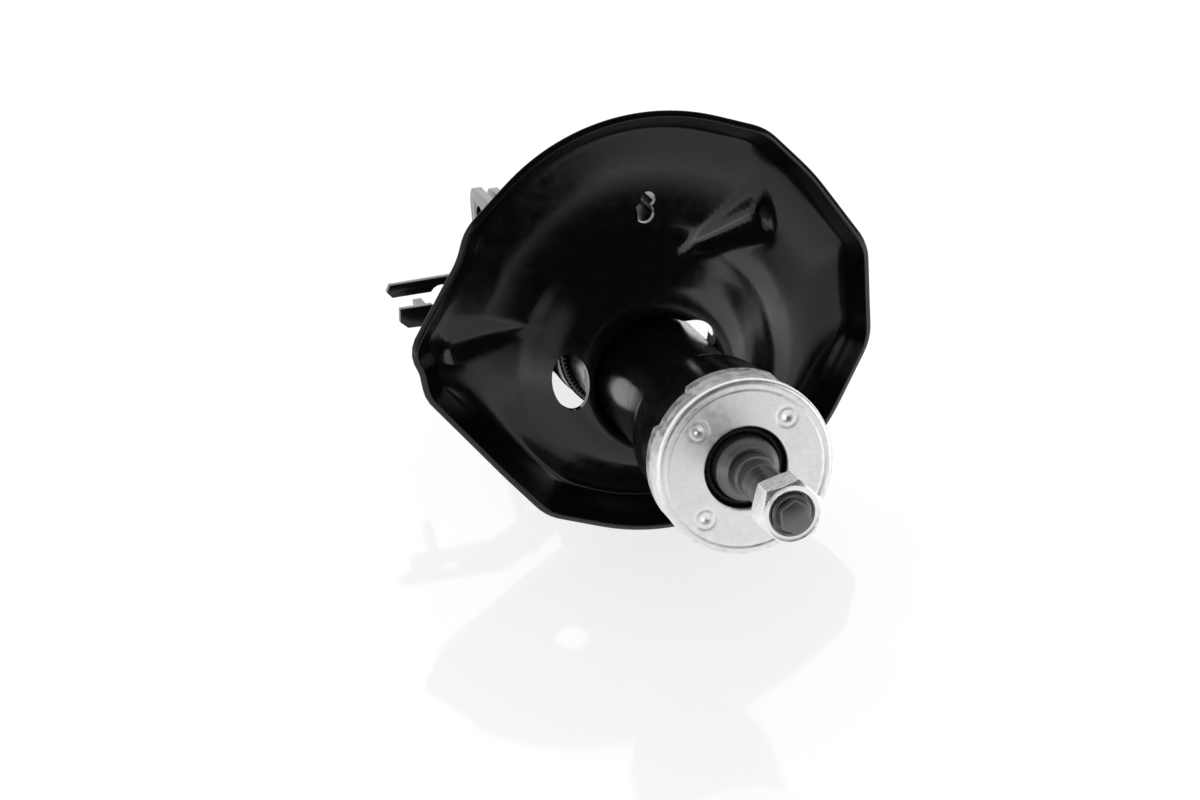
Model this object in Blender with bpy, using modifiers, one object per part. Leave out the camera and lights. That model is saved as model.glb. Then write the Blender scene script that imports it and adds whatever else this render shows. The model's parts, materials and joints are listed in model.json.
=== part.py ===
"""Suspension strut, lying on a bench on its spring seat and its knuckle bracket.

Every piece is drawn in the strut's own frame: z runs up the damper axis towards the
rod's stud, with z = 0 at the top face of the bump stop cap, y points outboard, to the
side that the knuckle bracket opens on, and x runs across the bracket. The empty
strut_axis holds that frame and lays it down at its resting angle. Units are metres.
"""

import math

import bmesh
import bpy
from mathutils import Matrix, Vector

MM = 0.001

# Resting pose: the axis climbs towards the stud, and the box's bottom centre is the origin.
REST_ANGLE = math.radians(18.5)
REST_PLACE = Vector((2.14, -93.28, 80.97)) * MM

GAP = 0.3 * MM
FINE = 40
COARSE = 32

# Outer tube, with a wider head that holds the rod guide and the seal.
TUBE_RADIUS = 20.2 * MM
HEAD_RADIUS = 24.4 * MM
TUBE_WALL = 2.0 * MM
TUBE_TOP = -2.0 * MM
HEAD_END = -40.0 * MM
SWAGE_END = -48.0 * MM
TUBE_BOTTOM = -180.0 * MM
CRIMP_RADIUS = 16.0 * MM
BASE_THICKNESS = 4.0 * MM
BASE_PLUG = 6.0 * MM

# Bump stop cap.
CAP_RADIUS = 27.5 * MM
CAP_HOLE = 12.85 * MM
CAP_SHEET = 1.4 * MM
CAP_HEIGHT = 13.0 * MM
CAP_INDENT = 1.3 * MM
CAP_PAD_HALF = math.radians(15)
CAP_STEPS = 72

# Inner cylinder, guide and valves.
BORE_RADIUS = 15.0 * MM
CYLINDER_WALL = 1.2 * MM
CYLINDER_TOP = -24.3 * MM
CYLINDER_BOTTOM = -168.0 * MM
GUIDE_TOP = -14.0 * MM
GUIDE_SHOULDER = -24.0 * MM
GUIDE_BOTTOM = -30.0 * MM
SEAL_TOP = -4.1 * MM
DUST_LIP_TOP = -1.6 * MM

# Piston rod. The rod is fully in at rest.
ROD_RADIUS = 10.0 * MM
ROD_SHOULDER = 2.4 * MM
MOUNT_LEDGE = 5.2 * MM
STUD_RADIUS = 6.0 * MM
STUD_TOP = 44.5 * MM
HEX_ACROSS_FLATS = 9.0 * MM
HEX_TOP = 48.0 * MM
PISTON_SEAT = -134.0 * MM
PISTON_STUD_RADIUS = 7.0 * MM
PISTON_STUD_END = -152.0 * MM
PISTON_BORE = PISTON_STUD_RADIUS + GAP
NUT_ACROSS_FLATS = 17.5 * MM
NUT_BOTTOM = 33.8 * MM
NUT_TOP = 43.8 * MM

# Spring seat: a round neck on the tube, lofted out to the rim, which is set outboard.
SEAT_STEPS = 72
SEAT_SHEET = 2.4 * MM
NECK_RADIUS = 20.6 * MM
RIM_CENTRE = (2.0 * MM, 18.0 * MM)
RIM_RADIUS = 68.5 * MM
RIM_TOP = -97.0 * MM
# Corners that stand out of the rim's circle: (angle in degrees, distance in millimetres).
RIM_CORNERS = ((12, 73), (55, 70.5), (146, 71), (178, 81), (187, 79), (234, 71), (347, 72.2))

# Round holes as (name, x, y, radius) in millimetres; the last opens a crescent beside the tube.
SEAT_ROUND_HOLES = (
    ("keyhole_wide", 2.8, 53.4, 3.3),
    ("keyhole_narrow", 4.6, 57.6, 2.4),
    ("tube_gap", 12.9, 11.6, 7.0),
)

# Pocket for the spring's end: a V that deepens from its tip to its end wall.
POCKET_TIP = Vector((8.0, 38.0)) * MM
POCKET_END = Vector((42.0, 46.0)) * MM
POCKET_HALF_WIDTH = 11.0 * MM
POCKET_DEPTH = 5.0 * MM

# Knuckle bracket: an outer pressing round the tube and an inner one between its cheeks.
BRACKET_SHEET = 3.0 * MM
BRACKET_TOP = -151.0 * MM
BRACKET_BOTTOM = -236.0 * MM
CHEEK_OUTER_X = 26.0 * MM
CHEEK_INNER_X = 20.0 * MM
CHEEK_REACH = 38.0 * MM
INNER_WEB_Y = 8.0 * MM
INNER_TOP = -188.0 * MM
BOLT_RADIUS = 6.1 * MM
BOLT_Y = 27.0 * MM
BOLT_HEIGHTS = (-168.0 * MM, -221.0 * MM)
BENCH_DROP = 80.9 * MM

# Brake hose bracket: a slotted plate on a foot that hugs the tube.
HOSE_PLATE = 3.0 * MM
HOSE_PLATE_Z = -147.0 * MM
HOSE_FOOT = (-149.6 * MM, -137.0 * MM)
HOSE_FOOT_RADII = (20.5 * MM, 23.0 * MM)
HOSE_FOOT_ANGLES = (140, 232)
HOSE_TAB = 13.0 * MM
# The slot that holds the hose's grommet, in millimetres.
SLOT_CENTRE = (-58.5, 24.5)
SLOT_RADIUS = 4.2
SLOT_HALF = 2.2

COLOURS = {
    "black_paint": ((0.012, 0.012, 0.013, 1.0), 0.25, 0.0),
    "zinc": ((0.72, 0.73, 0.74, 1.0), 0.38, 1.0),
    "bright_nut": ((0.86, 0.87, 0.88, 1.0), 0.28, 1.0),
    "dark_steel": ((0.09, 0.09, 0.095, 1.0), 0.4, 1.0),
    "bare_steel": ((0.5, 0.5, 0.51, 1.0), 0.35, 1.0),
    "sintered": ((0.23, 0.22, 0.21, 1.0), 0.6, 1.0),
    "bronze": ((0.45, 0.33, 0.18, 1.0), 0.4, 1.0),
    "rubber": ((0.015, 0.015, 0.015, 1.0), 0.75, 0.0),
    "nylon": ((0.75, 0.73, 0.66, 1.0), 0.5, 0.0),
    "ptfe": ((0.16, 0.13, 0.1, 1.0), 0.5, 0.0),
}


def clear_scene():
    for obj in list(bpy.data.objects):
        bpy.data.objects.remove(obj, do_unlink=True)


def new_collection(name):
    made = bpy.data.collections.new(name)
    bpy.context.scene.collection.children.link(made)
    return made


clear_scene()
STRUT = new_collection("strut_assembly")
CUTTERS = new_collection("cutters")
FRAME = bpy.data.objects.new("strut_axis", None)
STRUT.objects.link(FRAME)
FRAME.location = REST_PLACE
FRAME.rotation_euler = (math.pi / 2 - REST_ANGLE, 0.0, 0.0)


def material(name):
    found = bpy.data.materials.get(name)
    if found:
        return found
    colour, roughness, metallic = COLOURS[name]
    made = bpy.data.materials.new(name)
    made.use_nodes = True
    shader = made.node_tree.nodes["Principled BSDF"]
    shader.inputs["Base Color"].default_value = colour
    shader.inputs["Roughness"].default_value = roughness
    shader.inputs["Metallic"].default_value = metallic
    return made


def add_part(name, mesh, finish, sharp=40):
    """One node in the strut's own frame."""
    mesh.shade_smooth()
    mesh.set_sharp_from_angle(angle=math.radians(sharp))
    mesh.materials.append(material(finish))
    obj = bpy.data.objects.new(name, mesh)
    obj.parent = FRAME
    STRUT.objects.link(obj)
    return obj


def add_cutter(name, mesh):
    obj = bpy.data.objects.new(name, mesh)
    obj.parent = FRAME
    obj.hide_render = True
    obj.display_type = "WIRE"
    CUTTERS.objects.link(obj)
    return obj


def boolean(obj, other, operation):
    step = obj.modifiers.new(other.name, "BOOLEAN")
    step.operation = operation
    step.solver = "EXACT"
    step.object = other


def solidify(obj, thickness):
    """Thickens an open surface on the side away from its normals."""
    shell = obj.modifiers.new("sheet", "SOLIDIFY")
    shell.thickness = thickness
    shell.offset = -1.0


def turned(name, profile, finish, steps=COARSE):
    """A profile of (radius, height) turned about z. It runs down the outer side.

    A profile that starts and ends on the axis makes a solid, any other closes into a ring.
    With no finish the result is a cutter.
    """
    solid = profile[0][0] == 0 and profile[-1][0] == 0
    count = len(profile)
    edges = [(i, (i + 1) % count) for i in range(count - 1 if solid else count)]
    mesh = bpy.data.meshes.new(name)
    mesh.from_pydata([(r, 0.0, z) for r, z in profile], edges, [])
    obj = add_part(name, mesh, finish) if finish else add_cutter(name, mesh)
    screw = obj.modifiers.new("turn", "SCREW")
    screw.steps = steps
    screw.render_steps = steps
    screw.use_merge_vertices = True
    screw.merge_threshold = 0.00001
    return obj


def ring(name, inner, outer, bottom, top, finish, steps=COARSE):
    profile = [(outer, top), (outer, bottom), (inner, bottom), (inner, top)]
    return turned(name, profile, finish, steps)


def prism_mesh(name, loops, low, high):
    """Flat outlines, the first one the outside and the others holes, raised along z."""
    curve = bpy.data.curves.new(name, "CURVE")
    curve.dimensions = "2D"
    curve.fill_mode = "BOTH"
    curve.extrude = (high - low) / 2
    for loop in loops:
        spline = curve.splines.new("POLY")
        spline.points.add(len(loop) - 1)
        for point, (x, y) in zip(spline.points, loop):
            point.co = (x, y, 0.0, 1.0)
        spline.use_cyclic_u = True
    holder = bpy.data.objects.new(name, curve)
    bpy.context.scene.collection.objects.link(holder)
    graph = bpy.context.evaluated_depsgraph_get()
    mesh = bpy.data.meshes.new_from_object(holder.evaluated_get(graph))
    bpy.data.objects.remove(holder)
    work = bmesh.new()
    work.from_mesh(mesh)
    bmesh.ops.remove_doubles(work, verts=work.verts, dist=0.000001)
    bmesh.ops.translate(work, verts=work.verts, vec=(0, 0, (high + low) / 2))
    bmesh.ops.recalc_face_normals(work, faces=work.faces)
    work.to_mesh(mesh)
    work.free()
    return mesh


def cylinder_mesh(name, radius, depth, steps, place):
    work = bmesh.new()
    bmesh.ops.create_cone(
        work,
        cap_ends=True,
        segments=steps,
        radius1=radius,
        radius2=radius,
        depth=depth,
        matrix=place,
    )
    mesh = bpy.data.meshes.new(name)
    work.to_mesh(mesh)
    work.free()
    return mesh


def arc(centre, radius, start, end, steps):
    """Points along an arc, in degrees, both ends included."""
    points = []
    for i in range(steps + 1):
        turn = math.radians(start + (end - start) * i / steps)
        points.append((centre[0] + radius * math.cos(turn), centre[1] + radius * math.sin(turn)))
    return points


def loft_mesh(name, rings):
    """An open surface through closed rings of points, all with the same count."""
    work = bmesh.new()
    rows = [[work.verts.new(point) for point in points] for points in rings]
    count = len(rows[0])
    for low, high in zip(rows, rows[1:]):
        for i in range(count):
            j = (i + 1) % count
            work.faces.new((low[i], high[i], high[j], low[j]))
    mesh = bpy.data.meshes.new(name)
    work.to_mesh(mesh)
    work.free()
    return mesh


def hexagon(across_flats, turn=0):
    corner = across_flats / math.sqrt(3)
    return arc((0, 0), corner, turn, turn + 300, 5)


def make_outer_tube():
    inner = TUBE_RADIUS - TUBE_WALL
    head = HEAD_RADIUS - TUBE_WALL
    profile = [
        (HEAD_RADIUS, TUBE_TOP),
        (HEAD_RADIUS, HEAD_END),
        (TUBE_RADIUS, SWAGE_END),
        (TUBE_RADIUS, TUBE_BOTTOM),
        (inner, TUBE_BOTTOM),
        (inner, SWAGE_END + 0.8 * MM),
        (head, HEAD_END + 0.8 * MM),
        (head, TUBE_TOP - 1.8 * MM),
        (CRIMP_RADIUS, TUBE_TOP - 1.8 * MM),
        (CRIMP_RADIUS, TUBE_TOP),
    ]
    turned("outer_tube", profile, "black_paint", FINE)


def make_base():
    plug = TUBE_RADIUS - TUBE_WALL - GAP
    top = TUBE_BOTTOM + BASE_PLUG
    flange = TUBE_BOTTOM - GAP
    bottom = TUBE_BOTTOM - BASE_THICKNESS
    profile = [
        (0, top),
        (plug, top),
        (plug, flange),
        (TUBE_RADIUS, flange),
        (TUBE_RADIUS, bottom + MM),
        (TUBE_RADIUS - MM, bottom),
        (0, bottom),
    ]
    turned("base_cup", profile, "black_paint")


def make_base_valve():
    seat = CYLINDER_BOTTOM - GAP
    low = TUBE_BOTTOM + BASE_PLUG + GAP
    top = CYLINDER_BOTTOM + 5 * MM
    boss = BORE_RADIUS - GAP
    rivet = 2.7 * MM
    bore = rivet + GAP
    flange = BORE_RADIUS + 0.9 * MM
    profile = [(boss, top), (boss, seat), (flange, seat), (flange, low), (bore, low), (bore, top)]
    turned("base_valve_body", profile, "sintered")
    plate = top + GAP
    ring("base_check_plate", 4 * MM, 13 * MM, plate, plate + 0.8 * MM, "bare_steel")
    head = plate + 2.2 * MM
    profile = [(0, head + 2 * MM), (6 * MM, head + 2 * MM), (6 * MM, head), (rivet, head)]
    profile += [(rivet, low + GAP), (0, low + GAP)]
    turned("base_valve_rivet", profile, "bare_steel", 16)


def make_cylinder_and_guide():
    outer = BORE_RADIUS + CYLINDER_WALL
    ring("inner_cylinder", BORE_RADIUS, outer, CYLINDER_BOTTOM, CYLINDER_TOP, "bare_steel")
    wide = HEAD_RADIUS - TUBE_WALL - GAP
    boss = BORE_RADIUS - GAP
    bush_seat = 11.6 * MM
    groove = (19.3 * MM, GUIDE_TOP - 2.6 * MM)
    profile = [
        (groove[0], GUIDE_TOP),
        groove,
        (wide, groove[1]),
        (wide, GUIDE_SHOULDER),
        (boss, GUIDE_SHOULDER),
        (boss, GUIDE_BOTTOM),
        (bush_seat, GUIDE_BOTTOM),
        (bush_seat, GUIDE_TOP),
    ]
    turned("rod_guide", profile, "sintered")
    bush = (ROD_RADIUS + GAP, bush_seat - GAP)
    ring("guide_bush", *bush, GUIDE_BOTTOM, GUIDE_TOP - 2 * MM, "bronze")
    cord = arc((groove[0] + 1.45 * MM, groove[1] + 1.3 * MM), 1.05 * MM, 90, -225, 7)
    turned("guide_o_ring", cord, "rubber")
    bore = ROD_RADIUS + 0.4 * MM
    profile = [
        (12.0 * MM, DUST_LIP_TOP),
        (13.5 * MM, SEAL_TOP),
        (wide, SEAL_TOP),
        (wide, GUIDE_TOP + GAP),
        (bore, GUIDE_TOP + GAP),
        (bore, DUST_LIP_TOP),
    ]
    turned("oil_seal", profile, "rubber")


def cap_indent(angle):
    """How far the skirt is pressed in at an angle: four pads, one on each diagonal."""
    from_pad = abs(angle % (math.pi / 2) - math.pi / 4)
    return CAP_INDENT if from_pad < CAP_PAD_HALF else 0.0


def cap_ring(radius, height, pressed=False):
    points = []
    for i in range(CAP_STEPS):
        turn = 2 * math.pi * i / CAP_STEPS
        reach = radius - (cap_indent(turn) if pressed else 0.0)
        points.append((reach * math.cos(turn), reach * math.sin(turn), height))
    return points


def make_cap():
    rings = [
        cap_ring(CAP_HOLE, 0.0),
        cap_ring(CAP_RADIUS - 1.5 * MM, 0.0),
        cap_ring(CAP_RADIUS, -1.5 * MM),
        cap_ring(CAP_RADIUS, -3.2 * MM),
        cap_ring(CAP_RADIUS, -4.4 * MM, pressed=True),
        cap_ring(CAP_RADIUS, -CAP_HEIGHT, pressed=True),
    ]
    obj = add_part("bump_stop_cap", loft_mesh("bump_stop_cap", rings), "zinc")
    solidify(obj, CAP_SHEET)


def rim_radius(angle):
    """The rim's reach from its centre: a circle with straight runs up to each corner."""
    reach = RIM_RADIUS
    for degrees, distance in RIM_CORNERS:
        corner = distance * MM
        spread = math.acos(RIM_RADIUS / corner)
        away = abs((angle - math.radians(degrees) + math.pi) % (2 * math.pi) - math.pi)
        if away < spread:
            reach = max(reach, RIM_RADIUS / math.cos(away - spread))
    return reach


def pocket(x, y):
    """Depth of the spring end's pocket at a point of the seat."""
    run = POCKET_END - POCKET_TIP
    offset = Vector((x, y)) - POCKET_TIP
    along = offset.dot(run) / run.length_squared
    if not 0 < along < 1:
        return 0.0
    across = abs(offset.x * run.y - offset.y * run.x) / run.length
    return POCKET_DEPTH * along * max(0.0, 1 - across / (POCKET_HALF_WIDTH * along))


def seat_ring(centre, reach, height):
    """One ring of the seat; reach is a radius, or a distance inside the rim if negative."""
    points = []
    for i in range(SEAT_STEPS):
        turn = 2 * math.pi * i / SEAT_STEPS
        radius = rim_radius(turn) + reach if reach <= 0 else reach
        x = centre[0] + radius * math.cos(turn)
        y = centre[1] + radius * math.sin(turn)
        points.append((x, y, height - pocket(x, y)))
    return points


def halfway(first, second, height):
    points = []
    for a, b in zip(first, second):
        x = (a[0] + b[0]) / 2
        y = (a[1] + b[1]) / 2
        points.append((x, y, height - pocket(x, y)))
    return points


def make_spring_seat():
    crown = seat_ring((-1 * MM, 5 * MM), 46 * MM, -105.5 * MM)
    floor = seat_ring(RIM_CENTRE, -6.5 * MM, -105 * MM)
    rings = [
        seat_ring((0, 0), NECK_RADIUS, -103 * MM),
        seat_ring((0, 0), NECK_RADIUS, -97 * MM),
        seat_ring((0, 0), 23.5 * MM, -94 * MM),
        seat_ring((-0.5 * MM, 2 * MM), 30 * MM, -95.5 * MM),
        seat_ring((-1 * MM, 4 * MM), 39 * MM, -101.5 * MM),
        crown,
        halfway(crown, floor, -107 * MM),
        floor,
        seat_ring(RIM_CENTRE, -3.2 * MM, -101.5 * MM),
        seat_ring(RIM_CENTRE, 0.0, RIM_TOP),
    ]
    obj = add_part("spring_seat", loft_mesh("spring_seat", rings), "black_paint", 50)
    solidify(obj, SEAT_SHEET)
    drain = Matrix.Translation((-29 * MM, 4 * MM, -100 * MM)) @ Matrix.Diagonal((0.6, 1, 1, 1))
    mesh = cylinder_mesh("drain_hole", 9.5 * MM, 30 * MM, 24, drain)
    boolean(obj, add_cutter("drain_hole", mesh), "DIFFERENCE")
    for name, x, y, radius in SEAT_ROUND_HOLES:
        place = Matrix.Translation((x * MM, y * MM, -105 * MM))
        mesh = cylinder_mesh(name, radius * MM, 30 * MM, 20, place)
        boolean(obj, add_cutter(name, mesh), "DIFFERENCE")


def sheet_from_line(line, low, high, name):
    """An open wall standing on a line of (x, y) points."""
    work = bmesh.new()
    below = [work.verts.new((x, y, low)) for x, y in line]
    above = [work.verts.new((x, y, high)) for x, y in line]
    for i in range(len(line) - 1):
        work.faces.new((below[i], below[i + 1], above[i + 1], above[i]))
    mesh = bpy.data.meshes.new(name)
    work.to_mesh(mesh)
    work.free()
    return mesh


def cheek_profile(name, reach, low, high):
    """Side view of a bracket, as a block across x that trims it to shape.

    Its corners are rounded, and its inboard edge is sloped to lie along the bench.
    """

    def bench_y(z):
        return (-BENCH_DROP - z * math.sin(REST_ANGLE)) / math.cos(REST_ANGLE)

    corner = 8 * MM
    outline = [(bench_y(high), high), (bench_y(low), low)]
    outline += arc((reach - corner, low + corner), corner, -90, 0, 5)
    outline += arc((reach - corner, high - corner), corner, 0, 90, 5)
    mesh = prism_mesh(name, [outline], -60 * MM, 60 * MM)
    # The outline is drawn in (y, z): turn it so that it stands across x.
    mesh.transform(Matrix(((0, 0, 1, 0), (1, 0, 0, 0), (0, 1, 0, 0), (0, 0, 0, 1))))
    return add_cutter(name, mesh)


def bolt_cutter(height, index):
    place = Matrix.Translation((0, BOLT_Y, height)) @ Matrix.Rotation(math.pi / 2, 4, "Y")
    name = f"bolt_hole_{index}"
    return add_cutter(name, cylinder_mesh(name, BOLT_RADIUS, 80 * MM, 24, place))


def make_knuckle_bracket():
    bolts = [bolt_cutter(height, i) for i, height in enumerate(BOLT_HEIGHTS)]
    wrap = TUBE_RADIUS + GAP + BRACKET_SHEET
    cheek = CHEEK_OUTER_X + BRACKET_SHEET / 2
    back = arc((0, 0), wrap, 180, 360, 24)
    over = CHEEK_REACH + 10 * MM
    line = [(-cheek, over), (-cheek, 11 * MM), (-wrap, 3 * MM), *back, (wrap, 3 * MM)]
    line += [(cheek, 11 * MM), (cheek, over)]
    name = "knuckle_bracket_outer"
    mesh = sheet_from_line(line, BRACKET_BOTTOM - 5 * MM, BRACKET_TOP + 5 * MM, name)
    outer = add_part(name, mesh, "black_paint")
    solidify(outer, BRACKET_SHEET)
    side = cheek_profile("outer_side", CHEEK_REACH, BRACKET_BOTTOM, BRACKET_TOP)
    boolean(outer, side, "INTERSECT")
    for cutter in bolts:
        boolean(outer, cutter, "DIFFERENCE")

    cheek = CHEEK_INNER_X + BRACKET_SHEET / 2
    bend = 6 * MM
    web = INNER_WEB_Y - BRACKET_SHEET / 2
    line = [(-cheek, over), *arc((-cheek + bend, web + bend), bend, 180, 270, 5)]
    line += [*arc((cheek - bend, web + bend), bend, 270, 360, 5), (cheek, over)]
    name = "knuckle_bracket_inner"
    mesh = sheet_from_line(line, BRACKET_BOTTOM - 5 * MM, INNER_TOP + 5 * MM, name)
    inner = add_part(name, mesh, "black_paint")
    solidify(inner, BRACKET_SHEET)
    side = cheek_profile("inner_side", CHEEK_REACH - MM, BRACKET_BOTTOM, INNER_TOP)
    boolean(inner, side, "INTERSECT")
    boolean(inner, bolts[1], "DIFFERENCE")


def make_hose_bracket():
    throat = math.degrees(math.asin(SLOT_HALF / SLOT_RADIUS))
    slot = arc(SLOT_CENTRE, SLOT_RADIUS, 180 + throat, 540 - throat, 14)
    outline = [(-18.0, -12.0), (-22.0, -9.0), (-44.0, 14.5), (-71.0, 15.6), (-73.4, 17.8)]
    outline += [(-73.0, SLOT_CENTRE[1] - SLOT_HALF), *slot, (-75.2, SLOT_CENTRE[1] + SLOT_HALF)]
    outline += [(-76.8, 28.6), (-75.6, 31.0), (-38.0, 31.4), (-21.0, 13.0), (-18.0, 12.0)]
    outline = [(x * MM, y * MM) for x, y in outline]
    half = HOSE_PLATE / 2
    mesh = prism_mesh("hose_bracket", [outline], HOSE_PLATE_Z - half, HOSE_PLATE_Z + half)
    plate = add_part("hose_bracket", mesh, "black_paint")
    middle = Matrix.Translation((0, 0, HOSE_PLATE_Z))
    tube = cylinder_mesh("tube_clearance", HOSE_FOOT_RADII[0], 40 * MM, 48, middle)
    start, end = HOSE_FOOT_ANGLES
    inner, outer = HOSE_FOOT_RADII
    sector = arc((0, 0), outer, start, end, 12) + arc((0, 0), inner - MM, end, start, 12)
    foot = add_cutter("hose_foot", prism_mesh("hose_foot", [sector], *HOSE_FOOT))
    boolean(plate, foot, "UNION")
    corners = ((-66.0, 14.0), (-63.0, 14.0), (-63.0, 21.0), (-66.0, 21.0))
    square = [(x * MM, y * MM) for x, y in corners]
    tab = prism_mesh("hose_tab", [square], HOSE_PLATE_Z - HOSE_TAB, HOSE_PLATE_Z)
    boolean(plate, add_cutter("hose_tab", tab), "UNION")
    boolean(plate, add_cutter("tube_clearance", tube), "DIFFERENCE")


def make_rod():
    profile = [
        (0, STUD_TOP),
        (STUD_RADIUS - 0.5 * MM, STUD_TOP),
        (STUD_RADIUS, STUD_TOP - 0.5 * MM),
        (STUD_RADIUS, 10.2 * MM),
        (6.6 * MM, 9.6 * MM),
        (6.6 * MM, MOUNT_LEDGE),
        (7.6 * MM, MOUNT_LEDGE),
        (9.4 * MM, ROD_SHOULDER),
        (ROD_RADIUS, 1.6 * MM),
        (ROD_RADIUS, PISTON_SEAT),
        (PISTON_STUD_RADIUS, PISTON_SEAT),
        (PISTON_STUD_RADIUS, PISTON_STUD_END),
        (0, PISTON_STUD_END),
    ]
    rod = turned("piston_rod", profile, "dark_steel")
    drive = prism_mesh("hex_drive", [hexagon(HEX_ACROSS_FLATS, 30)], STUD_TOP - 2 * MM, HEX_TOP)
    boolean(rod, add_cutter("hex_drive", drive), "UNION")
    ring("rebound_stop", ROD_RADIUS + GAP, 14 * MM, -124 * MM, -118 * MM, "nylon")
    washer = (PISTON_SEAT - 2.6 * MM, PISTON_SEAT - GAP)
    ring("piston_stop_washer", PISTON_BORE, 11 * MM, *washer, "bare_steel")
    plate = (PISTON_SEAT - 4.9 * MM, PISTON_SEAT - 4.1 * MM)
    ring("piston_check_plate", PISTON_BORE, 13 * MM, *plate, "bare_steel")


def make_piston():
    top = PISTON_SEAT - 5.2 * MM
    bottom = PISTON_SEAT - 13.0 * MM
    land = BORE_RADIUS - 0.6 * MM
    groove = BORE_RADIUS - 1.7 * MM
    upper = top - 1.2 * MM
    lower = bottom + 1.2 * MM
    profile = [(land, top), (land, upper), (groove, upper), (groove, lower), (land, lower)]
    profile += [(land, bottom), (PISTON_BORE, bottom), (PISTON_BORE, top)]
    turned("piston_body", profile, "sintered")
    ring("piston_band", groove + GAP, BORE_RADIUS - 0.15 * MM, lower + GAP, upper - GAP, "ptfe")
    discs = (bottom - 1.3 * MM, bottom - GAP)
    ring("piston_valve_discs", PISTON_BORE, 11 * MM, *discs, "bare_steel")
    low = discs[0] - 5.4 * MM
    outline = [hexagon(19 * MM), arc((0, 0), PISTON_BORE, 0, -345, 23)]
    add_part("piston_nut", prism_mesh("piston_nut", outline, low, discs[0] - GAP), "bare_steel", 25)


def make_top_nut():
    outline = [hexagon(NUT_ACROSS_FLATS, 12), arc((0, 0), STUD_RADIUS + GAP, 0, -345, 23)]
    nut = add_part("top_nut", prism_mesh("top_nut", outline, NUT_BOTTOM, NUT_TOP), "bright_nut", 25)
    corner = NUT_ACROSS_FLATS / math.sqrt(3)
    flat = NUT_ACROSS_FLATS / 2
    slope = corner - flat + 0.4 * MM
    profile = [(0, NUT_TOP + MM), (flat - 0.8 * MM, NUT_TOP + MM), (flat - 0.2 * MM, NUT_TOP)]
    profile += [(flat + slope, NUT_TOP - slope), (flat + slope, NUT_BOTTOM - MM)]
    profile += [(0, NUT_BOTTOM - MM)]
    cutter = turned("nut_chamfer", profile, None)
    boolean(nut, cutter, "INTERSECT")


make_outer_tube()
make_base()
make_base_valve()
make_cylinder_and_guide()
make_cap()
make_spring_seat()
make_knuckle_bracket()
make_hose_bracket()
make_rod()
make_piston()
make_top_nut()
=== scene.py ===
"""Looks of the suspension strut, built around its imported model."""

import json
import math

import bmesh
import bpy
from mathutils import Matrix, Vector


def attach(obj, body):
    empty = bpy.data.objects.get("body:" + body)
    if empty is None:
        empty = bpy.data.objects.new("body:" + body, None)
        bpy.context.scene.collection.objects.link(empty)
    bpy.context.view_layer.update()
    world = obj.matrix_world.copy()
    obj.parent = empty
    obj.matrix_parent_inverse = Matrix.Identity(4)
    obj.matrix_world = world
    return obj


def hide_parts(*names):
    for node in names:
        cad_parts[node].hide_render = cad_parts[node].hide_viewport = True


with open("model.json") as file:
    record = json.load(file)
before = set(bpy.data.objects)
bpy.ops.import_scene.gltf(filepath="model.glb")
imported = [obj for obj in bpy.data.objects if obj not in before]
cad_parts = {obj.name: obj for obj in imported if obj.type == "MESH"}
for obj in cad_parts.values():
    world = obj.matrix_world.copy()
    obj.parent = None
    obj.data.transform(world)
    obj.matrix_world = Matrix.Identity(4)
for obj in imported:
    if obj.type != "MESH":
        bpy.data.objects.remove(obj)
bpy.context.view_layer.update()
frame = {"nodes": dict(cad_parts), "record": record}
MM = 0.001
BODY = "damper_body"
ROD = "rod"

# The strut's own frame: z up the damper axis from the cap's face, y outboard, x across.
TURN = next(joint for joint in frame["record"]["behaviour"]["joints"] if joint["name"] == "rod_turn")
AXIS = Vector(TURN["axis"]).normalized()
ACROSS = Vector((1, 0, 0))
OUTBOARD = AXIS.cross(ACROSS)
STRUT = Matrix.Translation(TURN["pos_m"]) @ Matrix((ACROSS, OUTBOARD, AXIS)).transposed().to_4x4()

# Camera
CAMERA_PLACE = (-0.25694, -0.84681, 0.68518)
CAMERA_TURN = math.radians(15.832)
CAMERA_DIP = math.radians(36.051)
CAMERA_LENS = 100.5

# Damper tube
TUBE_RADIUS = 20.2 * MM
HEAD_RADIUS = 24.4 * MM
TUBE_WALL = 2.0 * MM
TUBE_TOP = -2.0 * MM
HEAD_END = -40.0 * MM
SWAGE_END = -48.0 * MM
TUBE_BOTTOM = -180.0 * MM
CRIMP_RADIUS = 16.0 * MM
CRIMP_WALL = 1.8 * MM
SWAGE_OFFSET = 0.8 * MM

# Bump stop cap
CAP_RADIUS = 27.5 * MM
CAP_HOLE = 12.85 * MM
CAP_SHEET = 1.4 * MM
CAP_HEIGHT = 13.0 * MM
CAP_INDENT = 1.3 * MM
CAP_PAD_HALF = math.radians(15)
CAP_PAD_EASE = math.radians(3)
CAP_STEPS = 240
CAP_BEND = 1.5 * MM
CAP_SKIRT = ((-2.6, 0.0), (-3.2, 0.0), (-3.6, 0.35), (-4.1, 0.85), (-4.6, 1.0), (-8.5, 1.0))
CAP_LIP = 0.5 * MM
CAP_FACE_STEPS = 34
CAP_GROOVE = 24.6 * MM
CAP_GROOVE_WIDTH = 0.35 * MM
CAP_GROOVE_DEPTH = 0.18 * MM
DIMPLE_REACH = 19.6 * MM
DIMPLE_WIDTH = 1.0 * MM
DIMPLE_DEPTH = 0.5 * MM
DIMPLE_RING = 3.0 * MM
DIMPLE_RING_WIDTH = 0.4 * MM
DIMPLE_RING_DEPTH = 0.16 * MM

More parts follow.
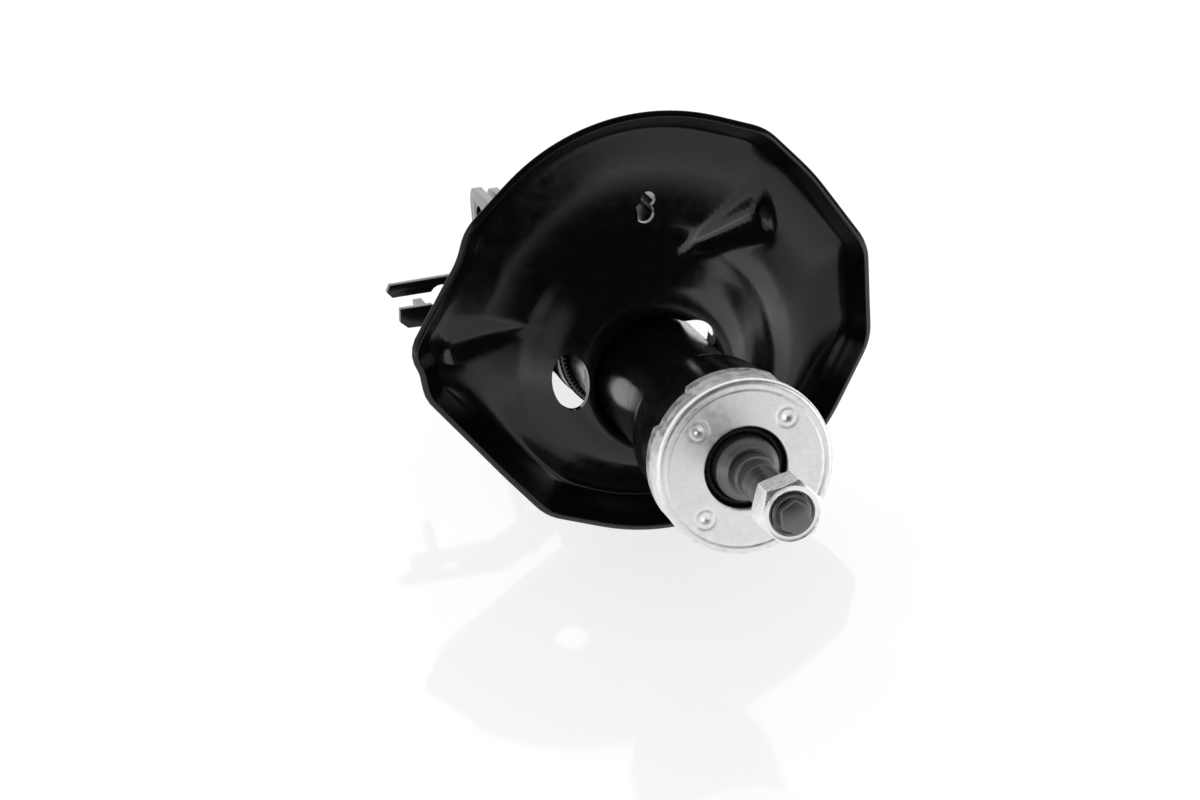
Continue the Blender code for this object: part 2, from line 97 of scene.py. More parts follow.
# Rod, stud, nut and seal
ROD_RADIUS = 10.0 * MM
ROD_END_LINE = (
    # The rod's stepped end: radius and height, in mm
    (10.0, 1.3),
    (9.9, 1.7),
    (9.4, 2.4),
    (7.6, 5.0),
    (7.4, 5.2),
    (6.6, 5.2),
    (6.6, 9.4),
    (6.5, 9.7),
    (6.0, 10.2),
)
STUD_RADIUS = 6.0 * MM
STUD_START = 12 * MM
STUD_TOP = 44.5 * MM
STUD_CHAMFER = 0.8 * MM
THREAD_START = 15.0 * MM
THREAD_PITCH = 1.25 * MM
THREAD_DEPTH = 0.55 * MM
THREAD_ROWS = 9
HEX_ACROSS_FLATS = 9.0 * MM
HEX_TOP = 48.0 * MM
PISTON_SEAT = -134.0 * MM
PISTON_STUD_RADIUS = 7.0 * MM
PISTON_STUD_END = -152.0 * MM
NUT_ACROSS_FLATS = 17.5 * MM
NUT_BOTTOM = 33.8 * MM
NUT_TOP = 43.8 * MM
NUT_TURN = 12
NUT_CLEARANCE = 0.3 * MM
NUT_LEAD = 0.7 * MM
NUT_MARGIN = 0.4 * MM
NUT_BOTTOM_SLOPE = 0.6
NUT_TOP_SLOPE = 0.75
NUT_RING = (0.3 * MM, 0.9 * MM)
NUT_RING_HEIGHT = 0.12 * MM
SEAL_CLEARANCE = 0.4 * MM
SEAL_FIT = 0.3 * MM
SEAL_TOP = -4.1 * MM
SEAL_BOTTOM = -13.7 * MM
LIP_TOP = -1.6 * MM
LIP_WIDTH = 0.9 * MM
LIP_FOOT = (12.0 * MM, -2.3 * MM)
LIP_BORE_TOP = -2.6 * MM
SEAL_STEP_RADIUS = 13.5 * MM

# Spring seat
SEAT_STEPS = 216
SEAT_SHEET = 2.4 * MM
SEAT_LINE_STEPS = 7
SEAT_INNER_LINE = (
    # From the neck outward: a circle's centre x, centre y, radius and height, in mm
    (0.0, 0.0, 20.6, -103.0),
    (0.0, 0.0, 20.6, -97.0),
    (0.0, 0.0, 23.5, -94.0),
    (-0.5, 2.0, 30.0, -95.5),
    (-1.0, 4.0, 39.0, -101.5),
    (-1.0, 5.0, 46.0, -105.5),
)
SEAT_MIDDLE_HEIGHT = -107.0 * MM
SEAT_RIM_LINE = (
    # Up to the rim: how far in from the rim, and the height, in mm
    (6.5, -105.0),
    (3.2, -101.5),
    (0.0, -97.0),
)
RIM_CENTRE = (2.0 * MM, 18.0 * MM)
RIM_RADIUS = 68.5 * MM
RIM_CORNERS = ((12, 73), (55, 70.5), (146, 71), (178, 81), (187, 79), (234, 71), (347, 72.2))
RIM_SOFTENING = math.radians(3)
RIM_SAMPLES = 9
SEAT_ROUND_HOLES = (
    # Centre x, centre y and radius in mm, then the steps round the hole
    (2.8, 53.4, 3.3, 36),
    (4.6, 57.6, 2.4, 36),
    (12.9, 11.6, 7.0, 48),
)
DRAIN_CENTRE = (-29 * MM, 4 * MM)
DRAIN_HALF_SIZE = (5.7 * MM, 9.5 * MM)
DRAIN_STEPS = 48
HOLE_CUT = (-125 * MM, -80 * MM)
SEAT_EDGE = 0.7 * MM
POCKET_TIP = Vector((8.0, 38.0)) * MM
POCKET_END = Vector((42.0, 46.0)) * MM
POCKET_HALF_WIDTH = 11.0 * MM
POCKET_DEPTH = 5.0 * MM
PRESS_FADE = 0.12
CREASE_TIP = Vector((-34.0, 22.0)) * MM
CREASE_END = Vector((-66.0, 20.0)) * MM
CREASE_HALF_WIDTH = 9.0 * MM
CREASE_DEPTH = 2.0 * MM

# Weld beads
BEAD = 1.7 * MM
BEAD_SIDES = 10
BEAD_SWELL = 0.1
BEAD_RIPPLE = 4
BEADS = (
    # Name, radius and height of the path, start and end in degrees, and the bead's own radius
    ("weld_seat", TUBE_RADIUS + BEAD / 2, -103.6 * MM, 68, 376, BEAD),
    ("weld_bracket_top", TUBE_RADIUS + BEAD / 2, -150.4 * MM, 185, 355, BEAD),
    ("weld_base", TUBE_RADIUS - 0.4 * MM, -180.2 * MM, 0, 360, 0.9 * MM),
    ("weld_hose_foot", TUBE_RADIUS + BEAD / 2, -136.6 * MM, 144, 228, 1.4 * MM),
)

# Finishes
GRAIN_LOW = 0.3
GRAIN_HIGH = 0.7
GRAIN_DETAIL = 4.0
GRAIN_RELIEF = 0.6
PATCH_SCALE = 190.0
PATCH_SHARE = 0.2

# Stage
FLOOR_RADIUS = 4.0
FLOOR_GREY = 0.35
FLOOR_ROUGHNESS = 0.06
FLOOR_GLOW = 0.76
LIGHT_TARGET = Vector((0, 0, 0.07))
# Each range is from, to, then the brightness at either end
BACKDROP = (-0.05, 0.5, 0.03, 1.25)
BAND = (0.02, 0.24, 0.85, 0.03)


# Materials

def link(tree, source, target):
    tree.links.new(source, target)


def grained(name, dark, light, metallic, rough, scale, bump, specular=0.5):
    """A finish whose tone, roughness and surface all vary with one stretched noise.

    scale is the grain's frequency along x, y and z, and bump its height in metres.
    """
    made = bpy.data.materials.new(name + "_finish")
    made["slot"] = name
    made.use_nodes = True
    tree = made.node_tree
    shader = tree.nodes["Principled BSDF"]
    shader.inputs["Metallic"].default_value = metallic
    shader.inputs["Specular IOR Level"].default_value = specular
    place = tree.nodes.new("ShaderNodeTexCoord")
    align = tree.nodes.new("ShaderNodeMapping")
    align.inputs["Rotation"].default_value = STRUT.inverted().to_euler()
    stretch = tree.nodes.new("ShaderNodeMapping")
    stretch.inputs["Scale"].default_value = scale
    grain = tree.nodes.new("ShaderNodeTexNoise")
    grain.inputs["Scale"].default_value = 1.0
    grain.inputs["Detail"].default_value = GRAIN_DETAIL
    tone = tree.nodes.new("ShaderNodeValToRGB")
    tone.color_ramp.elements[0].position = GRAIN_LOW
    tone.color_ramp.elements[0].color = (*dark, 1)
    tone.color_ramp.elements[1].position = GRAIN_HIGH
    tone.color_ramp.elements[1].color = (*light, 1)
    gloss = tree.nodes.new("ShaderNodeMapRange")
    gloss.inputs["From Min"].default_value = GRAIN_LOW
    gloss.inputs["From Max"].default_value = GRAIN_HIGH
    gloss.inputs["To Min"].default_value = rough[0]
    gloss.inputs["To Max"].default_value = rough[1]
    relief = tree.nodes.new("ShaderNodeBump")
    relief.inputs["Strength"].default_value = GRAIN_RELIEF
    relief.inputs["Distance"].default_value = bump
    link(tree, place.outputs["Object"], align.inputs["Vector"])
    link(tree, align.outputs["Vector"], stretch.inputs["Vector"])
    link(tree, stretch.outputs["Vector"], grain.inputs["Vector"])
    link(tree, grain.outputs["Fac"], tone.inputs["Fac"])
    link(tree, grain.outputs["Fac"], gloss.inputs["Value"])
    link(tree, grain.outputs["Fac"], relief.inputs["Height"])
    link(tree, tone.outputs["Color"], shader.inputs["Base Color"])
    link(tree, gloss.outputs["Result"], shader.inputs["Roughness"])
    link(tree, relief.outputs["Normal"], shader.inputs["Normal"])
    return made


def galvanised(name):
    """Zinc plate: crystal patches a few millimetres wide over a fine, soft grain."""
    dark, light = (0.74, 0.74, 0.75), (0.93, 0.93, 0.94)
    made = grained(name, dark, light, 0.8, (0.26, 0.4), (420, 420, 420), 0.00003)
    tree = made.node_tree
    shader = tree.nodes["Principled BSDF"]
    place = next(node for node in tree.nodes if node.type == "TEX_COORD")
    tone = next(node for node in tree.nodes if node.type == "VALTORGB")
    patches = tree.nodes.new("ShaderNodeTexVoronoi")
    patches.inputs["Scale"].default_value = PATCH_SCALE
    blend = tree.nodes.new("ShaderNodeMix")
    blend.data_type = "RGBA"
    blend.blend_type = "SOFT_LIGHT"
    blend.inputs["Factor"].default_value = PATCH_SHARE
    link(tree, place.outputs["Object"], patches.inputs["Vector"])
    link(tree, tone.outputs["Color"], blend.inputs["A"])
    link(tree, patches.outputs["Color"], blend.inputs["B"])
    neutral = tree.nodes.new("ShaderNodeHueSaturation")
    neutral.inputs["Saturation"].default_value = 0.0
    link(tree, blend.outputs["Result"], neutral.inputs["Color"])
    link(tree, neutral.outputs["Color"], shader.inputs["Base Color"])
    return made


def grey(level):
    return (level, level, level * 1.02)


def make_finishes():
    """One material for each of the record's slots. Turned pieces are grained in rings along z."""
    rings = (60, 60, 3500)
    coarse = (300, 300, 300)
    even = (900, 900, 900)
    fine = (2500, 2500, 2500)
    micron = 0.000001
    made = [
        grained("black_paint", grey(0.0022), grey(0.0045), 0.0, (0.13, 0.22), coarse, 20 * micron, 0.4),
        galvanised("zinc_plate"),
        grained("bright_zinc", grey(0.89), grey(0.95), 0.85, (0.22, 0.3), (500, 500, 1100), 4 * micron),
        grained("rod_steel", grey(0.1), grey(0.19), 0.8, (0.28, 0.42), rings, 10 * micron),
        grained("seal_rubber", grey(0.006), grey(0.014), 0.0, (0.55, 0.75), even, 30 * micron),
        grained("sintered_iron", grey(0.12), grey(0.31), 0.7, (0.5, 0.7), fine, 30 * micron),
        grained("bronze", (0.32, 0.21, 0.1), (0.5, 0.36, 0.19), 0.9, (0.3, 0.45), rings, 10 * micron),
        grained("bare_steel", grey(0.38), grey(0.56), 1.0, (0.24, 0.38), rings, 10 * micron),
        grained("nylon", (0.62, 0.59, 0.51), (0.78, 0.76, 0.69), 0.0, (0.4, 0.55), even, 20 * micron),
        grained("ptfe", (0.09, 0.07, 0.055), (0.17, 0.14, 0.11), 0.0, (0.45, 0.6), even, 20 * micron),
    ]
    return {finish["slot"]: finish for finish in made}


FINISHES = make_finishes()


# Mesh helpers. Every piece is drawn in the strut's own frame, then its mesh is moved to the row frame.

def add_piece(name, mesh, finish, body, *nodes, sharp=35):
    mesh.shade_smooth()
    mesh.set_sharp_from_angle(angle=math.radians(sharp))
    mesh.materials.clear()
    mesh.materials.append(FINISHES[finish])
    mesh.transform(STRUT)
    obj = bpy.data.objects.new(name, mesh)
    bpy.context.scene.collection.objects.link(obj)
    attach(obj, body)
    if nodes:
        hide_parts(*nodes)
    return obj


def add_cutter(name, mesh):
    """A tool for a Boolean: it is used once and removed by settle."""
    mesh.transform(STRUT)
    obj = bpy.data.objects.new(name, mesh)
    bpy.context.scene.collection.objects.link(obj)
    return obj


def boolean(obj, other, operation):
    step = obj.modifiers.new(other.name, "BOOLEAN")
    step.operation = operation
    step.solver = "EXACT"
    step.object = other


def soften(obj, width, angle=40):
    step = obj.modifiers.new("edges", "BEVEL")
    step.width = width
    step.segments = 3
    step.limit_method = "ANGLE"
    step.angle_limit = math.radians(angle)


def solidify(obj, thickness):
    shell = obj.modifiers.new("sheet", "SOLIDIFY")
    shell.thickness = thickness
    shell.offset = -1.0


def settle(obj, *cutters, sharp=35):
    """Applies the modifiers and removes the cutters."""
    bpy.context.view_layer.update()
    graph = bpy.context.evaluated_depsgraph_get()
    mesh = bpy.data.meshes.new_from_object(obj.evaluated_get(graph))
    obj.modifiers.clear()
    obj.data = mesh
    mesh.shade_smooth()
    mesh.set_sharp_from_angle(angle=math.radians(sharp))
    for cutter in cutters:
        bpy.data.objects.remove(cutter)


def loft(rings, closed_ends=False, loop=False, keep_facing=False):
    """A surface through closed rings of points.

    loop joins the last ring to the first, and keep_facing leaves the faces turned as they are drawn.
    """
    work = bmesh.new()
    rows = [[work.verts.new(point) for point in points] for points in rings]
    pairs = list(zip(rows, rows[1:]))
    if loop:
        pairs.append((rows[-1], rows[0]))
    count = len(rows[0])
    for low, high in pairs:
        for i in range(count):
            j = (i + 1) % count
            work.faces.new((low[i], high[i], high[j], low[j]))
    if closed_ends:
        work.faces.new(rows[0])
        work.faces.new(rows[-1][::-1])
    if not keep_facing:
        bmesh.ops.recalc_face_normals(work, faces=work.faces)
    mesh = bpy.data.meshes.new("loft")
    work.to_mesh(mesh)
    work.free()
    return mesh


def rounded(profile, radius, steps=4):
    """The profile with each corner replaced by a short curve, at most radius back along its sides."""
    points = []
    count = len(profile)
    for i, corner in enumerate(profile):
        here = Vector(corner)
        back = Vector(profile[i - 1]) - here
        ahead = Vector(profile[(i + 1) % count]) - here
        reach = min(radius, back.length * 0.45, ahead.length * 0.45)
        start = here + back.normalized() * reach
        end = here + ahead.normalized() * reach
        for k in range(steps + 1):
            t = k / steps
            points.append(start * (1 - t) ** 2 + here * 2 * t * (1 - t) + end * t ** 2)
    return points


def circle(radius, height, steps):
    angles = [2 * math.pi * i / steps for i in range(steps)]
    return [(radius * math.cos(a), radius * math.sin(a), height) for a in angles]


def turned_mesh(profile, steps=128):
    """A closed profile of (radius, height) turned about z."""
    return loft([circle(radius, height, steps) for radius, height in profile], loop=True)


def prism(outline, low, high):
    return loft([[(x, y, low) for x, y in outline], [(x, y, high) for x, y in outline]], closed_ends=True)


def arc(centre, radius, start, end, steps):
    points = []
    for i in range(steps + 1):
        turn = math.radians(start + (end - start) * i / steps)
        points.append((centre[0] + radius * math.cos(turn), centre[1] + radius * math.sin(turn)))
    return points


def whole_turn(centre, radius, steps):
    """A closed round outline, without its first point again at its end."""
    return arc(centre, radius, 0, 360 - 360 / steps, steps - 1)


def hexagon(across_flats, turn=0):
    return arc((0, 0), across_flats / math.sqrt(3), turn, turn + 300, 5)


def ease(value):
    value = max(0.0, min(1.0, value))
    return value * value * (3 - 2 * value)


# Spring seat

def straight_side(angle, first, second):
    """Reach of the straight line between two corners, or 0 at an angle outside it."""
    start, end = math.radians(first[0]), math.radians(second[0])
    span = (end - start) % (2 * math.pi)
    past = (angle - start) % (2 * math.pi)
    if past > span:
        return 0.0
    near, far = first[1] * MM, second[1] * MM
    return near * far * math.sin(span) / (near * math.sin(past) + far * math.sin(span - past))


def sharp_rim(angle):
    """The rim's reach from its centre: a circle, straight runs up to its corners and one straight side."""
    reach = RIM_RADIUS
    for degrees, distance in RIM_CORNERS:
        corner = distance * MM
        spread = math.acos(RIM_RADIUS / corner)
        away = abs((angle - math.radians(degrees) + math.pi) % (2 * math.pi) - math.pi)
        if away < spread:
            reach = max(reach, RIM_RADIUS / math.cos(away - spread))
    return max(reach, straight_side(angle, RIM_CORNERS[-1], RIM_CORNERS[0]))


def rim_radius(angle):
    """The rim with its corners rounded, by averaging over a short arc."""
    turns = [RIM_SOFTENING * (2 * k / (RIM_SAMPLES - 1) - 1) for k in range(RIM_SAMPLES)]
    return sum(sharp_rim(angle + turn) for turn in turns) / RIM_SAMPLES


def valley(x, y, tip, end, half_width, depth):
    """Depth of a pressed valley that widens and deepens from its tip to its end."""
    run = end - tip
    offset = Vector((x, y)) - tip
    along = offset.dot(run) / run.length_squared
    if along <= 0:
        return 0.0
    fade = ease((1 + PRESS_FADE - along) / PRESS_FADE)
    along = min(along, 1.0)
    across = abs(offset.x * run.y - offset.y * run.x) / run.length
    return depth * along * fade * ease(1 - across / (half_width * along))


def pressed(x, y):
    spring_end = valley(x, y, POCKET_TIP, POCKET_END, POCKET_HALF_WIDTH, POCKET_DEPTH)
    crease = valley(x, y, CREASE_TIP, CREASE_END, CREASE_HALF_WIDTH, CREASE_DEPTH)
    return max(spring_end, crease)


def seat_section(turn):
    """The seat's driving points at one angle, from its neck to its rim, as (x, y, z)."""
    facing = Vector((math.cos(turn), math.sin(turn)))

    def point(centre, reach, height):
        spot = Vector(centre) + facing * reach
        return Vector((spot.x, spot.y, height))

    rim = rim_radius(turn)
    inner = [point((x * MM, y * MM), radius * MM, height * MM) for x, y, radius, height in SEAT_INNER_LINE]
    outer = [point(RIM_CENTRE, rim - inset * MM, height * MM) for inset, height in SEAT_RIM_LINE]
    middle = (inner[-1] + outer[0]) / 2
    middle.z = SEAT_MIDDLE_HEIGHT
    return inner + [middle] + outer


def smooth_line(points, steps):
    """A Catmull-Rom curve through the points."""
    line = []
    for i in range(len(points) - 1):
        a = points[max(i - 1, 0)]
        b, c = points[i], points[i + 1]
        d = points[min(i + 2, len(points) - 1)]
        for k in range(steps):
            t = k / steps
            square = (2 * a - 5 * b + 4 * c - d) * t * t
            cube = (3 * b - a - 3 * c + d) * t ** 3
            line.append(0.5 * (2 * b + (c - a) * t + square + cube))
    line.append(points[-1])
    return line


def make_spring_seat():
    sections = []
    for i in range(SEAT_STEPS):
        line = smooth_line(seat_section(2 * math.pi * i / SEAT_STEPS), SEAT_LINE_STEPS)
        sections.append([(p.x, p.y, p.z - pressed(p.x, p.y)) for p in line])
    surface = loft(list(zip(*sections)), keep_facing=True)
    seat = add_piece("spring_seat_pressing", surface, "black_paint", BODY, "spring_seat")
    solidify(seat, SEAT_SHEET)
    soften(seat, SEAT_EDGE, 55)
    settle(seat)
    (x, y), (half_x, half_y) = DRAIN_CENTRE, DRAIN_HALF_SIZE
    holes = [[(x + half_x * c, y + half_y * s) for c, s in whole_turn((0, 0), 1, DRAIN_STEPS)]]
    for x, y, radius, steps in SEAT_ROUND_HOLES:
        holes.append(whole_turn((x * MM, y * MM), radius * MM, steps))
    cutters = []
    for i, outline in enumerate(holes):
        cutter = add_cutter(f"seat_hole_{i}", prism(outline, *HOLE_CUT))
        boolean(seat, cutter, "DIFFERENCE")
        cutters.append(cutter)
    settle(seat, *cutters)


# Bump stop cap

def pad_press(angle):
    """How far the skirt is pressed in at an angle: four pads, one on each diagonal."""
    from_pad = abs(angle % (math.pi / 2) - math.pi / 4)
    return CAP_INDENT * ease((CAP_PAD_HALF - from_pad) / CAP_PAD_EASE + 0.5)


def face_height(radius, turn):
    """Relief of the cap's face: a groove near its edge and four small dimples in faint rings."""
    height = -CAP_GROOVE_DEPTH * math.exp(-(((radius - CAP_GROOVE) / CAP_GROOVE_WIDTH) ** 2))
    for k in range(4):
        angle = math.pi / 4 + k * math.pi / 2
        away = math.hypot(
            radius * math.cos(turn) - DIMPLE_REACH * math.cos(angle),
            radius * math.sin(turn) - DIMPLE_REACH * math.sin(angle),
        )
        height += -DIMPLE_DEPTH * math.exp(-((away / DIMPLE_WIDTH) ** 2))
        height += -DIMPLE_RING_DEPTH * math.exp(-(((away - DIMPLE_RING) / DIMPLE_RING_WIDTH) ** 2))
    return height


def make_cap():
    """The cap, as rings of (radius, height, share of the pads' press)."""
    outer = []
    for k in range(4):
        t = math.radians(30 * k)
        outer.append((CAP_HOLE + CAP_LIP - CAP_LIP * math.cos(t), -CAP_LIP + CAP_LIP * math.sin(t), 0))
    last = CAP_RADIUS - CAP_BEND
    for k in range(1, CAP_FACE_STEPS + 1):
        outer.append((CAP_HOLE + CAP_LIP + (last - CAP_HOLE - CAP_LIP) * k / CAP_FACE_STEPS, 0.0, 0))
    for k in range(1, 7):
        t = math.radians(15 * k)
        outer.append((last + CAP_BEND * math.sin(t), -CAP_BEND + CAP_BEND * math.cos(t), 0))
    outer += [(CAP_RADIUS, height * MM, press) for height, press in CAP_SKIRT]
    outer += [(CAP_RADIUS, -CAP_HEIGHT + 0.3 * MM, 1.0), (CAP_RADIUS - 0.3 * MM, -CAP_HEIGHT, 1.0)]
    inner = [(CAP_RADIUS - CAP_SHEET + 0.2 * MM, -CAP_HEIGHT, 1.0)]
    inner += [(CAP_RADIUS - CAP_SHEET, -4.6 * MM, 1.0), (CAP_RADIUS - CAP_SHEET, -3.2 * MM, 0.0)]
    inner += [(CAP_RADIUS - CAP_SHEET - 0.4 * MM, -CAP_SHEET, 0), (CAP_HOLE + 0.2 * MM, -CAP_SHEET, 0)]
    inner += [(CAP_HOLE, -CAP_SHEET + 0.2 * MM, 0)]
    rings = []
    for radius, height, press in outer + inner:
        ring = []
        on_face = height == 0.0
        for i in range(CAP_STEPS):
            turn = 2 * math.pi * i / CAP_STEPS
            reach = radius - press * pad_press(turn)
            z = height + (face_height(radius, turn) if on_face else 0.0)
            ring.append((reach * math.cos(turn), reach * math.sin(turn), z))
        rings.append(ring)
    add_piece("cap_pressing", loft(rings, loop=True), "zinc_plate", BODY, "bump_stop_cap", sharp=50)


# Tube, seal and welds

def make_tube():
    inner = TUBE_RADIUS - TUBE_WALL
    head = HEAD_RADIUS - TUBE_WALL
    profile = [
        (HEAD_RADIUS, TUBE_TOP),
        (HEAD_RADIUS, HEAD_END),
        (TUBE_RADIUS, SWAGE_END),
        (TUBE_RADIUS, TUBE_BOTTOM),
        (inner, TUBE_BOTTOM),
        (inner, SWAGE_END + SWAGE_OFFSET),
        (head, HEAD_END + SWAGE_OFFSET),
        (head, TUBE_TOP - CRIMP_WALL),
        (CRIMP_RADIUS, TUBE_TOP - CRIMP_WALL),
        (CRIMP_RADIUS, TUBE_TOP),
    ]
    add_piece("tube_body", turned_mesh(rounded(profile, 1.5 * MM)), "black_paint", BODY, "outer_tube")


def make_seal():
    """The oil seal, with a raised dust lip round the rod and a step outside it."""
    bore = ROD_RADIUS + SEAL_CLEARANCE
    wide = HEAD_RADIUS - TUBE_WALL - SEAL_FIT
    profile = [
        (bore + LIP_WIDTH, LIP_TOP),
        LIP_FOOT,
        (SEAL_STEP_RADIUS, SEAL_TOP),
        (wide, SEAL_TOP),
        (wide, SEAL_BOTTOM),
        (bore, SEAL_BOTTOM),
        (bore, LIP_BORE_TOP),
    ]
    add_piece("seal_lip", turned_mesh(rounded(profile, 0.5 * MM), 96), "seal_rubber", BODY, "oil_seal")


def bead_rings(path, radius, ripples):
    """A weld bead along a closed path, swelling and narrowing as the puddle did."""
    rings = []
    count = len(path)
    for i, (centre, outward, up) in enumerate(path):
        swell = radius * (1 + BEAD_SWELL * math.cos(2 * math.pi * ripples * i / count))
        ring = []
        for k in range(BEAD_SIDES):
            t = 2 * math.pi * k / BEAD_SIDES
            ring.append(centre + outward * swell * math.cos(t) + up * swell * math.sin(t))
        rings.append(ring)
    return rings


def make_ring_bead(name, reach, height, start, end, radius):
    """A weld bead round the tube, over the whole turn or part of it."""
    whole = end - start >= 360
    count = 240 if whole else 120
    path = []
    for i in range(count):
        turn = math.radians(start + (end - start) * i / (count if whole else count - 1))
        outward = Vector((math.cos(turn), math.sin(turn), 0))
        path.append((outward * reach + Vector((0, 0, height)), outward, Vector((0, 0, 1))))
    rings = bead_rings(path, radius, int((end - start) / BEAD_RIPPLE))
    add_piece(name, loft(rings, closed_ends=not whole, loop=whole), "black_paint", BODY)


# Rod, stud and nut

def thread_radius(height, turn):
    """A 60 degree thread with flat crests, fading out at its start."""
    phase = (height / THREAD_PITCH - turn / (2 * math.pi)) % 1
    cut = max(0.0, 1 - abs(phase - 0.5) / 0.42)
    return STUD_RADIUS - THREAD_DEPTH * cut * ease((height - THREAD_START) / THREAD_PITCH)


def thread_ring(height, steps):
    ring = []
    for i in range(steps):
        turn = 2 * math.pi * i / steps
        radius = thread_radius(height, turn)
        ring.append((radius * math.cos(turn), radius * math.sin(turn), height))
    return ring


def make_rod():
    steps = 96
    profile = [(PISTON_STUD_RADIUS, PISTON_STUD_END), (PISTON_STUD_RADIUS, PISTON_SEAT)]
    profile.append((ROD_RADIUS, PISTON_SEAT))
    profile += [(radius * MM, height * MM) for radius, height in ROD_END_LINE]
    rings = [circle(radius, height, steps) for radius, height in profile]
    top = STUD_TOP - STUD_CHAMFER
    rows = int((top - STUD_START) / (THREAD_PITCH / THREAD_ROWS))
    for k in range(rows + 1):
        rings.append(thread_ring(STUD_START + (top - STUD_START) * k / rows, steps))
    rings.append(circle(STUD_RADIUS - STUD_CHAMFER, STUD_TOP, steps))
    rod = add_piece("rod_and_stud", loft(rings, closed_ends=True), "rod_steel", ROD, "piston_rod", sharp=30)
    drive = add_cutter("hex_drive", prism(hexagon(HEX_ACROSS_FLATS, 30), STUD_TOP - 2 * MM, HEX_TOP))
    soften(drive, 0.5 * MM)
    settle(drive)
    boolean(rod, drive, "UNION")
    settle(rod, drive, sharp=30)


def make_nut():
    """A hexagon nut with chamfered corners, a countersunk bore and a turned ring on its face."""
    corner = NUT_ACROSS_FLATS / math.sqrt(3)
    flat = NUT_ACROSS_FLATS / 2
    slope = corner - flat + NUT_MARGIN
    blank = prism(hexagon(NUT_ACROSS_FLATS, NUT_TURN), NUT_BOTTOM, NUT_TOP)
    nut = add_piece("nut_body", blank, "bright_zinc", ROD, "top_nut", sharp=30)
    soften(nut, 0.25 * MM)
    settle(nut)
    bore = STUD_RADIUS + NUT_CLEARANCE
    envelope = [
        (bore, NUT_TOP - NUT_LEAD),
        (bore, NUT_BOTTOM + NUT_LEAD),
        (bore + NUT_LEAD, NUT_BOTTOM),
        (flat, NUT_BOTTOM),
        (flat + slope, NUT_BOTTOM + slope * NUT_BOTTOM_SLOPE),
        (flat + slope, NUT_TOP - slope * NUT_TOP_SLOPE),
        (flat - NUT_RING[0], NUT_TOP),
        (flat - NUT_RING[1], NUT_TOP - NUT_RING_HEIGHT),
        (bore + NUT_LEAD, NUT_TOP - NUT_RING_HEIGHT),
    ]
    shape = add_cutter("nut_envelope", turned_mesh(envelope, 128))
    boolean(nut, shape, "INTERSECT")
    settle(nut, shape, sharp=30)


# Brackets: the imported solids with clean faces

def make_bracket(node, name, width):
    """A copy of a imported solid, its flat faces joined up and its edges bevelled."""
    mesh = frame["nodes"][node].data.copy()
    work = bmesh.new()
    work.from_mesh(mesh)
    bmesh.ops.transform(work, matrix=STRUT.inverted(), verts=work.verts)
    bmesh.ops.remove_doubles(work, verts=work.verts, dist=0.005 * MM)
    bmesh.ops.dissolve_limit(work, angle_limit=math.radians(1), verts=work.verts, edges=work.edges)
    work.to_mesh(mesh)
    work.free()
    bracket = add_piece(name, mesh, "black_paint", BODY, node)
    soften(bracket, width)
    settle(bracket, sharp=30)


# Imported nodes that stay

def dress_inner_nodes():
    """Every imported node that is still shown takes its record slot's finish."""
    slots = {part["node"]: part["material_slot"] for part in frame["record"]["subparts"]}
    for name, obj in frame["nodes"].items():
        if not obj.hide_render:
            for holder in obj.material_slots:
                holder.material = FINISHES[slots[name]]


# Stage, light and camera

def make_floor():
    mesh = bpy.data.meshes.new("floor")
    work = bmesh.new()
    bmesh.ops.create_circle(work, cap_ends=True, segments=96, radius=FLOOR_RADIUS)
    work.to_mesh(mesh)
    work.free()
    floor = bpy.data.objects.new("floor", mesh)
    bpy.context.scene.collection.objects.link(floor)
    made = bpy.data.materials.new("studio_floor")
    made.use_nodes = True
    shader = made.node_tree.nodes["Principled BSDF"]
    shader.inputs["Base Color"].default_value = (FLOOR_GREY, FLOOR_GREY, FLOOR_GREY, 1)
    shader.inputs["Roughness"].default_value = FLOOR_ROUGHNESS
    shader.inputs["Specular IOR Level"].default_value = 0.6
    shader.inputs["Emission Color"].default_value = (1, 1, 1, 1)
    shader.inputs["Emission Strength"].default_value = FLOOR_GLOW
    mesh.materials.append(made)


def add_light(name, place, size, power):
    """A square softbox aimed at the strut."""
    data = bpy.data.lights.new(name, "AREA")
    data.size = size
    data.energy = power
    light = bpy.data.objects.new(name, data)
    bpy.context.scene.collection.objects.link(light)
    light.location = place
    light.rotation_euler = (LIGHT_TARGET - Vector(place)).to_track_quat("-Z", "Y").to_euler()


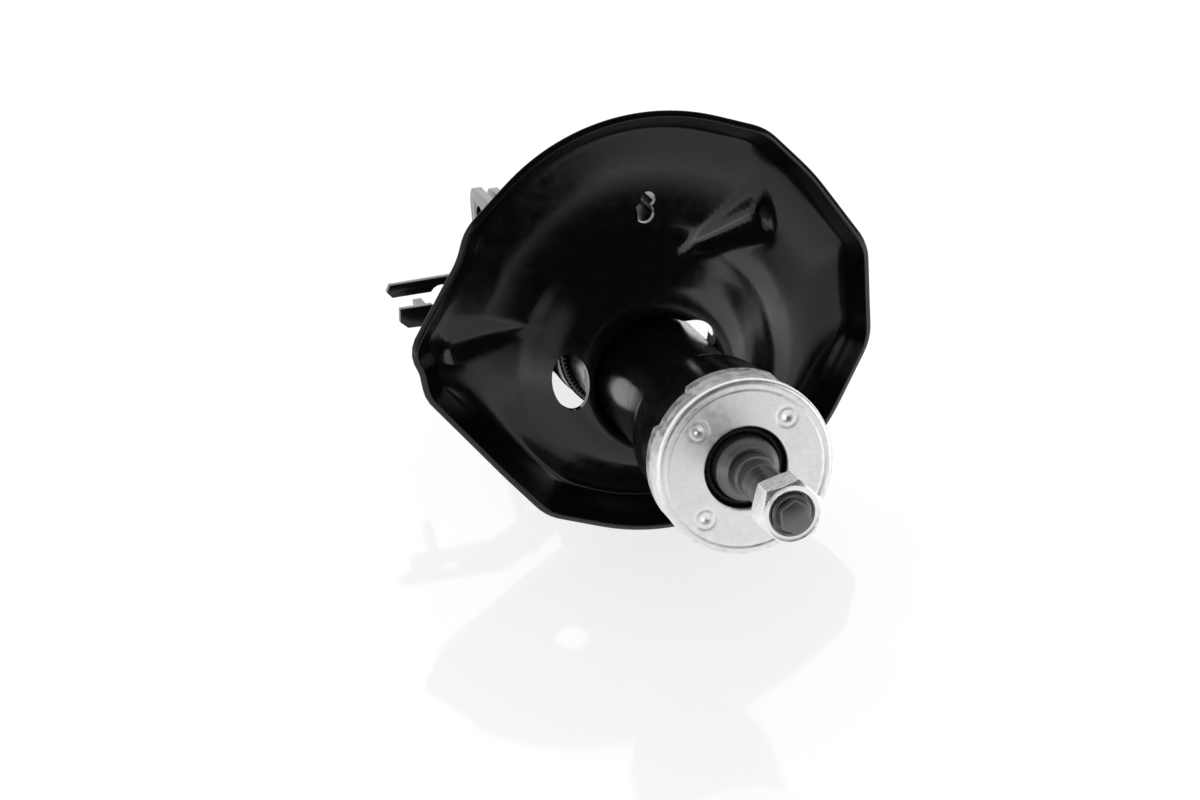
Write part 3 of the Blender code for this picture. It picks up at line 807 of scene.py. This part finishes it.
def ranged(tree, source, low, high, start, end):
    """A smooth change from start to end as the source goes from low to high."""
    node = tree.nodes.new("ShaderNodeMapRange")
    node.interpolation_type = "SMOOTHSTEP"
    node.inputs["From Min"].default_value = low
    node.inputs["From Max"].default_value = high
    node.inputs["To Min"].default_value = start
    node.inputs["To Max"].default_value = end
    link(tree, source, node.inputs["Value"])
    return node.outputs["Result"]


def make_light():
    """A pale backdrop on the far side, and on the near side a low bright band under a dark ceiling."""
    world = bpy.data.worlds.new("studio")
    world.use_nodes = True
    tree = world.node_tree
    sky = tree.nodes["Background"]
    sky.inputs["Color"].default_value = (1, 1, 1, 1)
    place = tree.nodes.new("ShaderNodeTexCoord")
    split = tree.nodes.new("ShaderNodeSeparateXYZ")
    link(tree, place.outputs["Generated"], split.inputs["Vector"])
    backdrop = ranged(tree, split.outputs["Y"], *BACKDROP)
    band = ranged(tree, split.outputs["Z"], *BAND)
    brighter = tree.nodes.new("ShaderNodeMath")
    brighter.operation = "MAXIMUM"
    link(tree, backdrop, brighter.inputs[0])
    link(tree, band, brighter.inputs[1])
    link(tree, brighter.outputs["Value"], sky.inputs["Strength"])
    bpy.context.scene.world = world
    add_light("right_panel", (1.5, -1.1, 0.6), 1.3, 9)
    add_light("left_panel", (-1.7, -0.6, 0.7), 1.6, 6)


def make_camera():
    data = bpy.data.cameras.new("camera")
    data.lens = CAMERA_LENS
    data.sensor_width = 36.0
    data.clip_start = 0.01
    camera = bpy.data.objects.new("camera", data)
    bpy.context.scene.collection.objects.link(camera)
    camera.location = CAMERA_PLACE
    camera.rotation_euler = (math.pi / 2 - CAMERA_DIP, 0, -CAMERA_TURN)
    bpy.context.scene.camera = camera


make_camera()
make_tube()
make_spring_seat()
make_cap()
make_seal()
for bead in BEADS:
    make_ring_bead(*bead)
make_rod()
make_nut()
make_bracket("knuckle_bracket_outer", "bracket_outer_pressing", 0.5 * MM)
make_bracket("knuckle_bracket_inner", "bracket_inner_pressing", 0.5 * MM)
make_bracket("hose_bracket", "hose_plate", 0.4 * MM)
dress_inner_nodes()
make_floor()
make_light()
bpy.context.scene.view_settings.view_transform = "Standard"
